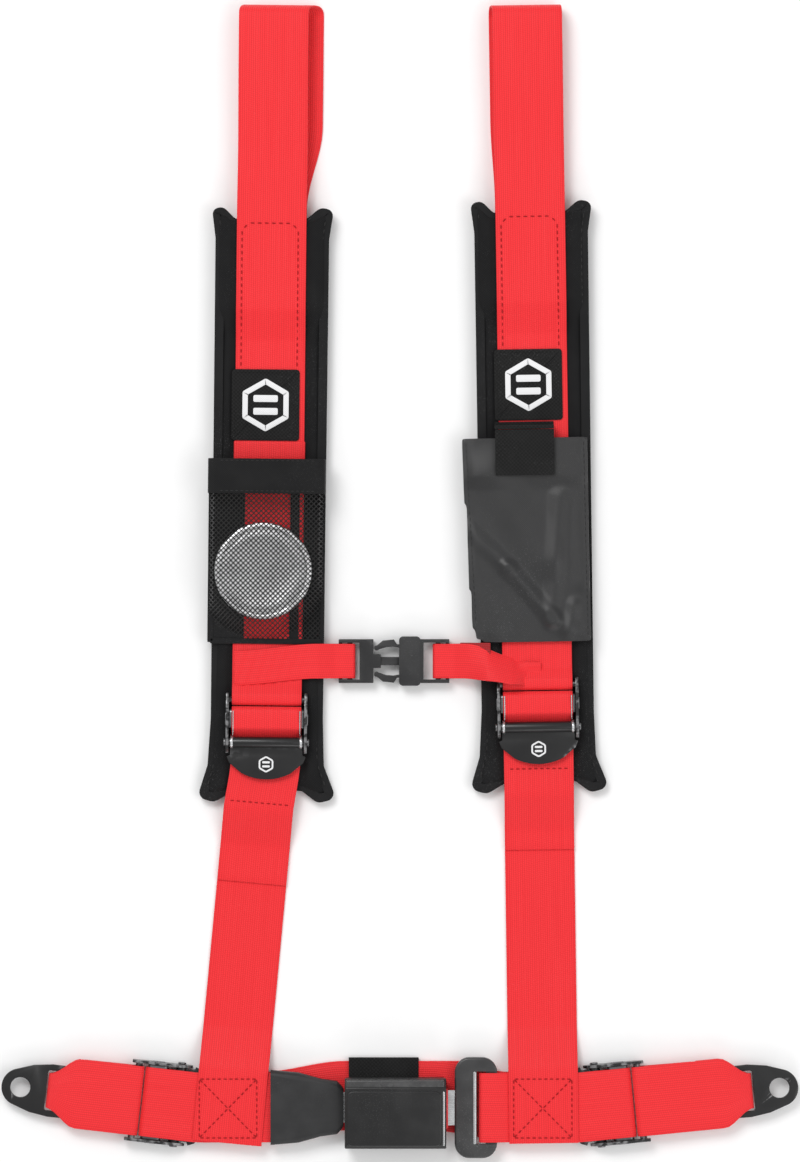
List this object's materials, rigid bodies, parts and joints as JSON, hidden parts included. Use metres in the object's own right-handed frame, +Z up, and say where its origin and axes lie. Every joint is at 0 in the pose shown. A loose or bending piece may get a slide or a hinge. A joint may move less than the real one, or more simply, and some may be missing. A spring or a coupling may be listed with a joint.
{
  "type": "racing harness",
  "caption": "Four-point racing harness laid flat: padded shoulder belts with pockets, lap belt with push-button buckle, cam-lock adjusters, chest clip and bolt-in brackets.",
  "frame": {"origin": "middle of the laid-out harness on the floor", "axes": "+X to the right of the laid-out harness, +Y towards the shoulder ends, +Z up off the floor"},
  "size_m": [0.5822, 0.8426, 0.0325],
  "materials": {
    "webbing_red": "woven polyester, slight sheen",
    "steel_black": "black powder coat",
    "steel_bright": "bright plated",
    "plastic_black": "fine textured",
    "fabric_black": "matt knit",
    "foam": "soft foam",
    "net_black": "open net",
    "coated_nylon": "coated, soft shine",
    "badge": "embroidered badge",
    "button_red": "glossy"
  },
  "bodies": {
    "left_half": {"pad_cover_left": "fabric_black", "pad_backing_left": "fabric_black", "pad_foam_left": "foam", "shoulder_belt_left": "webbing_red", "lower_belt_left": "webbing_red", "inner_lap_belt_left": "webbing_red", "outer_lap_belt_left": "webbing_red", "bar_slider_left": "steel_black", "end_bracket_left": "steel_black", "patch_left": "badge", "chest_belt_left": "webbing_red", "adjuster_frame_shoulder_left": "steel_black", "roll_bar_shoulder_left": "steel_bright", "cam_pin_shoulder_left": "steel_bright", "adjuster_frame_lap_left": "steel_black", "roll_bar_lap_left": "steel_bright", "cam_pin_lap_left": "steel_bright", "mesh_pocket": "net_black", "mesh_pocket_hem": "fabric_black", "chest_clip_male": "plastic_black", "buckle_base": "plastic_black", "buckle_cover": "plastic_black", "buckle_frame": "steel_bright", "button_spring": "steel_bright", "buckle_boot": "plastic_black", "tail_keeper": "fabric_black"},
    "right_half": {"pad_cover_right": "fabric_black", "pad_backing_right": "fabric_black", "pad_foam_right": "foam", "shoulder_belt_right": "webbing_red", "lower_belt_right": "webbing_red", "inner_lap_belt_right": "webbing_red", "outer_lap_belt_right": "webbing_red", "bar_slider_right": "steel_black", "end_bracket_right": "steel_black", "patch_right": "badge", "chest_belt_right": "webbing_red", "adjuster_frame_shoulder_right": "steel_black", "roll_bar_shoulder_right": "steel_bright", "adjuster_frame_lap_right": "steel_black", "roll_bar_lap_right": "steel_bright", "phone_pouch": "coated_nylon", "pouch_tab_anchor": "fabric_black", "chest_clip_female": "plastic_black", "tongue_plate": "steel_bright", "tongue_grip": "steel_black", "cam_pin_shoulder_right": "steel_bright", "cam_pin_lap_right": "steel_bright"},
    "shoulder_lever_left": {"cam_lever_shoulder_left": "steel_black"},
    "shoulder_lever_right": {"cam_lever_shoulder_right": "steel_black"},
    "lap_lever_left": {"cam_lever_lap_left": "steel_black"},
    "lap_lever_right": {"cam_lever_lap_right": "steel_black"},
    "button": {"release_button": "button_red"},
    "pawl": {"latch_pawl": "steel_bright"},
    "prong_upper": {"chest_clip_prong_upper": "plastic_black"},
    "prong_lower": {"chest_clip_prong_lower": "plastic_black"},
    "pouch_flap": {"pouch_tab": "fabric_black", "pouch_hook_pad": "fabric_black"},
    "tin": {"tin_cup": "steel_bright", "tin_lid": "steel_bright"}
  },
  "joints": [
    {"name": "shoulder_lever_lift_left", "type": "hinge", "parent": "left_half", "child": "shoulder_lever_left", "pos_m": [-0.09753, -0.11769, 0.0176], "axis": [-0.9999, 0.0105, 0], "range_deg": [0, 75]},
    {"name": "shoulder_lever_lift_right", "type": "hinge", "parent": "right_half", "child": "shoulder_lever_right", "pos_m": [0.10087, -0.10649, 0.0176], "axis": [-0.9999, -0.0157, 0], "range_deg": [0, 75]},
    {"name": "lap_lever_lift_left", "type": "hinge", "parent": "left_half", "child": "lap_lever_left", "pos_m": [-0.16261, -0.3828, 0.0043], "axis": [0.1132, 0.9936, 0], "range_deg": [0, 75]},
    {"name": "lap_lever_lift_right", "type": "hinge", "parent": "right_half", "child": "lap_lever_right", "pos_m": [0.14458, -0.38306, 0.0043], "axis": [0.0958, -0.9954, 0], "range_deg": [0, 75]},
    {"name": "harness_open", "type": "slide", "parent": "left_half", "child": "right_half", "axis": [1, 0, 0], "range_m": [0, 0.18]},
    {"name": "button_press", "type": "slide", "parent": "left_half", "child": "button", "axis": [-1, 0, 0], "range_m": [0, 0.004], "stiffness_N_per_m": 400},
    {"name": "pawl_lift", "type": "slide", "parent": "left_half", "child": "pawl", "axis": [0, 0, 1], "range_m": [0, 0.0032]},
    {"name": "prong_squeeze_upper", "type": "hinge", "parent": "left_half", "child": "prong_upper", "pos_m": [-0.017, -0.0489, 0.0065], "axis": [0, 0, -1], "range_deg": [0, 8]},
    {"name": "prong_squeeze_lower", "type": "hinge", "parent": "left_half", "child": "prong_lower", "pos_m": [-0.017, -0.0681, 0.0065], "axis": [0, 0, 1], "range_deg": [0, 8]},
    {"name": "pouch_flap_lift", "type": "hinge", "parent": "right_half", "child": "pouch_flap", "pos_m": [0.09067, 0.10988, 0.0216], "axis": [-0.9999, -0.0157, 0], "range_deg": [0, 109]},
    {"name": "tin_slide_out", "type": "slide", "parent": "left_half", "child": "tin", "axis": [0.0105, 0.9999, 0], "range_m": [0, 0.118]}
  ],
  "couplings": [
    {"joint": "pawl_lift", "follows": "button_press", "ratio": 0.8},
    {"joint": "prong_squeeze_lower", "follows": "prong_squeeze_upper", "ratio": 1}
  ]
}
